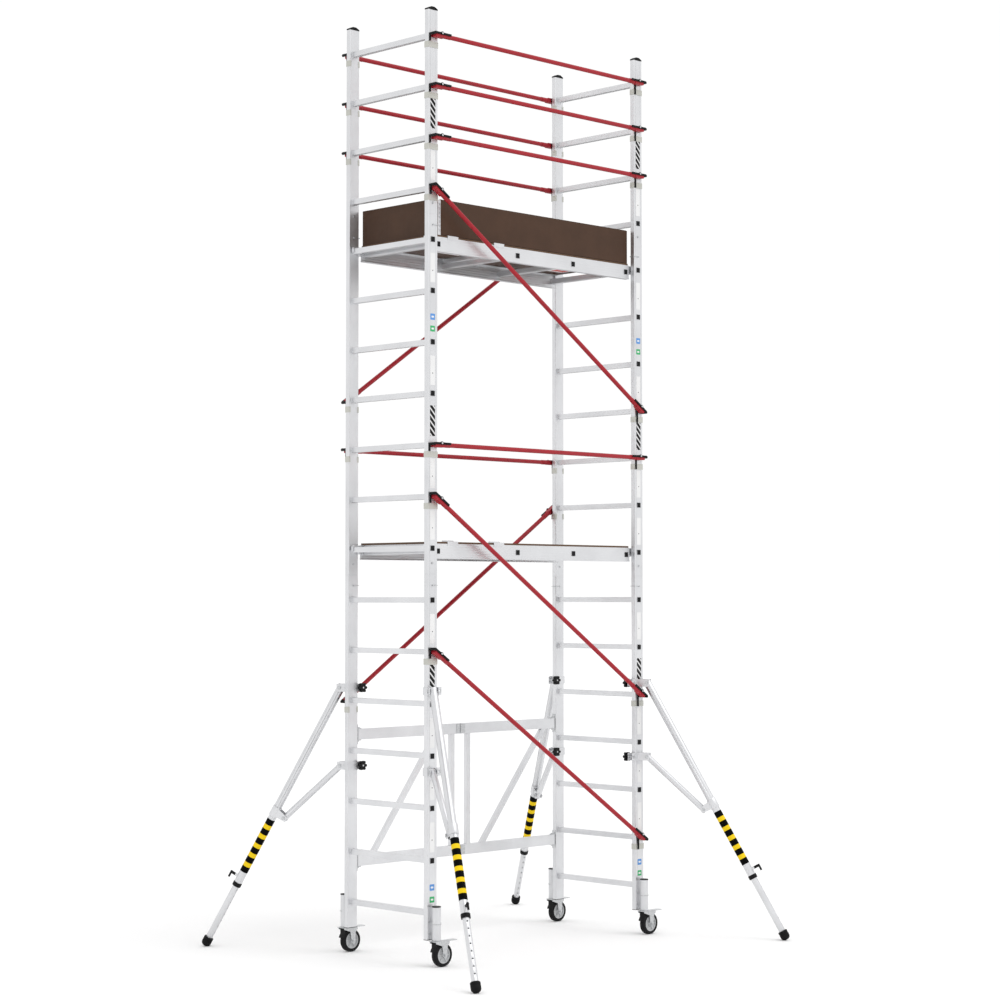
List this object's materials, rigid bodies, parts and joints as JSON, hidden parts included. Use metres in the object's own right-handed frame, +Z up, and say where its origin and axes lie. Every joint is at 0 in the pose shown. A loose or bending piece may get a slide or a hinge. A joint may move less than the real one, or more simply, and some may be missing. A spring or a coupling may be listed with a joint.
{
  "type": "mobile tower scaffold",
  "caption": "Tall narrow aluminium mobile access tower with ladder frames, trapdoor decks, toe boards, red clip-on braces, swivel castors and outrigger stabilisers.",
  "frame": {"origin": "on the ground in the middle of the four stabiliser feet", "axes": "+Z up, X along the tower from one ladder frame to the other, Y across it with the front at -Y"},
  "size_m": [2.5686, 2.2716, 5.203],
  "materials": {
    "aluminium": "satin extruded aluminium",
    "red": "red powder coat",
    "black_plastic": "moulded black plastic",
    "zinc": "zinc-plated steel",
    "ply": "brown phenolic film on plywood",
    "tyre": "black rubber tyre",
    "rubber": "black moulded rubber"
  },
  "bodies": {
    "root": {"left_base_frame": "aluminium", "left_middle_frame": "aluminium", "left_guard_frame": "aluminium", "right_base_frame": "aluminium", "right_middle_frame": "aluminium", "right_guard_frame": "aluminium", "frame_joint_fixings": "zinc", "end_plugs": "black_plastic", "brace_tubes": "red", "brace_claws": "red", "brace_latches": "black_plastic", "brace_stile_clips": "zinc", "deck_frames": "aluminium", "deck_panels": "ply", "deck_fittings": "aluminium", "toe_boards": "ply", "folding_left_leaf": "aluminium", "folding_right_leaf": "aluminium", "folding_hinges": "zinc", "caster_sleeves": "aluminium", "caster_stems": "zinc", "stabiliser_clamps": "aluminium", "stabiliser_tubes": "aluminium", "stabiliser_struts": "aluminium", "stabiliser_collars": "black_plastic", "stabiliser_bolts": "zinc"},
    "lower_hatch": {"lower_hatch": "ply"},
    "upper_hatch": {"upper_hatch": "ply"},
    "caster_fork_fl": {"caster_fork_fl": "zinc"},
    "caster_wheel_fl": {"caster_wheel_fl": "tyre"},
    "brake_pedal_fl": {"brake_pedal_fl": "zinc"},
    "leg_fl": {"leg_tube_fl": "aluminium", "leg_foot_fl": "rubber"},
    "leg_handle_fl": {"leg_handle_fl": "black_plastic"},
    "knob_upper_fl": {"knob_upper_fl": "black_plastic"},
    "knob_lower_fl": {"knob_lower_fl": "black_plastic"},
    "caster_fork_fr": {"caster_fork_fr": "zinc"},
    "caster_wheel_fr": {"caster_wheel_fr": "tyre"},
    "brake_pedal_fr": {"brake_pedal_fr": "zinc"},
    "leg_fr": {"leg_tube_fr": "aluminium", "leg_foot_fr": "rubber"},
    "leg_handle_fr": {"leg_handle_fr": "black_plastic"},
    "knob_upper_fr": {"knob_upper_fr": "black_plastic"},
    "knob_lower_fr": {"knob_lower_fr": "black_plastic"},
    "caster_fork_rl": {"caster_fork_rl": "zinc"},
    "caster_wheel_rl": {"caster_wheel_rl": "tyre"},
    "brake_pedal_rl": {"brake_pedal_rl": "zinc"},
    "leg_rl": {"leg_tube_rl": "aluminium", "leg_foot_rl": "rubber"},
    "leg_handle_rl": {"leg_handle_rl": "black_plastic"},
    "knob_upper_rl": {"knob_upper_rl": "black_plastic"},
    "knob_lower_rl": {"knob_lower_rl": "black_plastic"},
    "caster_fork_rr": {"caster_fork_rr": "zinc"},
    "caster_wheel_rr": {"caster_wheel_rr": "tyre"},
    "brake_pedal_rr": {"brake_pedal_rr": "zinc"},
    "leg_rr": {"leg_tube_rr": "aluminium", "leg_foot_rr": "rubber"},
    "leg_handle_rr": {"leg_handle_rr": "black_plastic"},
    "knob_upper_rr": {"knob_upper_rr": "black_plastic"},
    "knob_lower_rr": {"knob_lower_rr": "black_plastic"}
  },
  "joints": [
    {"name": "lower_hatch_hinge", "type": "hinge", "parent": "root", "child": "lower_hatch", "pos_m": [-0.4575, -0.265, 2.287], "axis": [1, 0, 0], "range_deg": [0, 85]},
    {"name": "upper_hatch_hinge", "type": "hinge", "parent": "root", "child": "upper_hatch", "pos_m": [-0.4575, -0.265, 3.967], "axis": [1, 0, 0], "range_deg": [0, 85]},
    {"name": "swivel_fl", "type": "hinge", "parent": "root", "child": "caster_fork_fl", "pos_m": [-0.84, -0.372, 0.1407], "axis": [0, 0, 1], "continuous": true},
    {"name": "wheel_spin_fl", "type": "hinge", "parent": "caster_fork_fl", "child": "caster_wheel_fl", "pos_m": [-0.799, -0.372, 0.0625], "axis": [0, 1, 0], "continuous": true},
    {"name": "brake_fl", "type": "hinge", "parent": "caster_fork_fl", "child": "brake_pedal_fl", "pos_m": [-0.778, -0.372, 0.131], "axis": [0, 1, 0], "range_deg": [0, 12]},
    {"name": "leg_slide_fl", "type": "slide", "parent": "root", "child": "leg_fl", "axis": [0.229, 0.4308, 0.8729], "range_m": [-0.1, 0.3]},
    {"name": "leg_lock_fl", "type": "slide", "parent": "root", "child": "leg_handle_fl", "axis": [-0.4098, -0.7707, 0.4879], "range_m": [0, 0.014], "stiffness_N_per_m": 300, "springref_m": -0.01},
    {"name": "knob_upper_turn_fl", "type": "hinge", "parent": "root", "child": "knob_upper_fl", "pos_m": [-0.788, -0.29, 1.474], "axis": [0, 1, 0], "continuous": true},
    {"name": "knob_lower_turn_fl", "type": "hinge", "parent": "root", "child": "knob_lower_fl", "pos_m": [-0.788, -0.29, 1.04], "axis": [0, 1, 0], "continuous": true},
    {"name": "swivel_fr", "type": "hinge", "parent": "root", "child": "caster_fork_fr", "pos_m": [0.84, -0.372, 0.1407], "axis": [0, 0, 1], "continuous": true},
    {"name": "wheel_spin_fr", "type": "hinge", "parent": "caster_fork_fr", "child": "caster_wheel_fr", "pos_m": [0.881, -0.372, 0.0625], "axis": [0, 1, 0], "continuous": true},
    {"name": "brake_fr", "type": "hinge", "parent": "caster_fork_fr", "child": "brake_pedal_fr", "pos_m": [0.902, -0.372, 0.131], "axis": [0, 1, 0], "range_deg": [0, 12]},
    {"name": "leg_slide_fr", "type": "slide", "parent": "root", "child": "leg_fr", "axis": [-0.229, 0.4308, 0.8729], "range_m": [-0.1, 0.3]},
    {"name": "leg_lock_fr", "type": "slide", "parent": "root", "child": "leg_handle_fr", "axis": [0.4098, -0.7707, 0.4879], "range_m": [0, 0.014], "stiffness_N_per_m": 300, "springref_m": -0.01},
    {"name": "knob_upper_turn_fr", "type": "hinge", "parent": "root", "child": "knob_upper_fr", "pos_m": [0.788, -0.29, 1.474], "axis": [0, 1, 0], "continuous": true},
    {"name": "knob_lower_turn_fr", "type": "hinge", "parent": "root", "child": "knob_lower_fr", "pos_m": [0.788, -0.29, 1.04], "axis": [0, 1, 0], "continuous": true},
    {"name": "swivel_rl", "type": "hinge", "parent": "root", "child": "caster_fork_rl", "pos_m": [-0.84, 0.372, 0.1407], "axis": [0, 0, 1], "continuous": true},
    {"name": "wheel_spin_rl", "type": "hinge", "parent": "caster_fork_rl", "child": "caster_wheel_rl", "pos_m": [-0.799, 0.372, 0.0625], "axis": [0, 1, 0], "continuous": true},
    {"name": "brake_rl", "type": "hinge", "parent": "caster_fork_rl", "child": "brake_pedal_rl", "pos_m": [-0.778, 0.372, 0.131], "axis": [0, 1, 0], "range_deg": [0, 12]},
    {"name": "leg_slide_rl", "type": "slide", "parent": "root", "child": "leg_rl", "axis": [0.229, -0.4308, 0.8729], "range_m": [-0.1, 0.3]},
    {"name": "leg_lock_rl", "type": "slide", "parent": "root", "child": "leg_handle_rl", "axis": [-0.4098, 0.7707, 0.4879], "range_m": [0, 0.014], "stiffness_N_per_m": 300, "springref_m": -0.01},
    {"name": "knob_upper_turn_rl", "type": "hinge", "parent": "root", "child": "knob_upper_rl", "pos_m": [-0.788, 0.29, 1.474], "axis": [0, -1, 0], "continuous": true},
    {"name": "knob_lower_turn_rl", "type": "hinge", "parent": "root", "child": "knob_lower_rl", "pos_m": [-0.788, 0.29, 1.04], "axis": [0, -1, 0], "continuous": true},
    {"name": "swivel_rr", "type": "hinge", "parent": "root", "child": "caster_fork_rr", "pos_m": [0.84, 0.372, 0.1407], "axis": [0, 0, 1], "continuous": true},
    {"name": "wheel_spin_rr", "type": "hinge", "parent": "caster_fork_rr", "child": "caster_wheel_rr", "pos_m": [0.881, 0.372, 0.0625], "axis": [0, 1, 0], "continuous": true},
    {"name": "brake_rr", "type": "hinge", "parent": "caster_fork_rr", "child": "brake_pedal_rr", "pos_m": [0.902, 0.372, 0.131], "axis": [0, 1, 0], "range_deg": [0, 12]},
    {"name": "leg_slide_rr", "type": "slide", "parent": "root", "child": "leg_rr", "axis": [-0.229, -0.4308, 0.8729], "range_m": [-0.1, 0.3]},
    {"name": "leg_lock_rr", "type": "slide", "parent": "root", "child": "leg_handle_rr", "axis": [0.4098, 0.7707, 0.4879], "range_m": [0, 0.014], "stiffness_N_per_m": 300, "springref_m": -0.01},
    {"name": "knob_upper_turn_rr", "type": "hinge", "parent": "root", "child": "knob_upper_rr", "pos_m": [0.788, 0.29, 1.474], "axis": [0, -1, 0], "continuous": true},
    {"name": "knob_lower_turn_rr", "type": "hinge", "parent": "root", "child": "knob_lower_rr", "pos_m": [0.788, 0.29, 1.04], "axis": [0, -1, 0], "continuous": true}
  ]
}
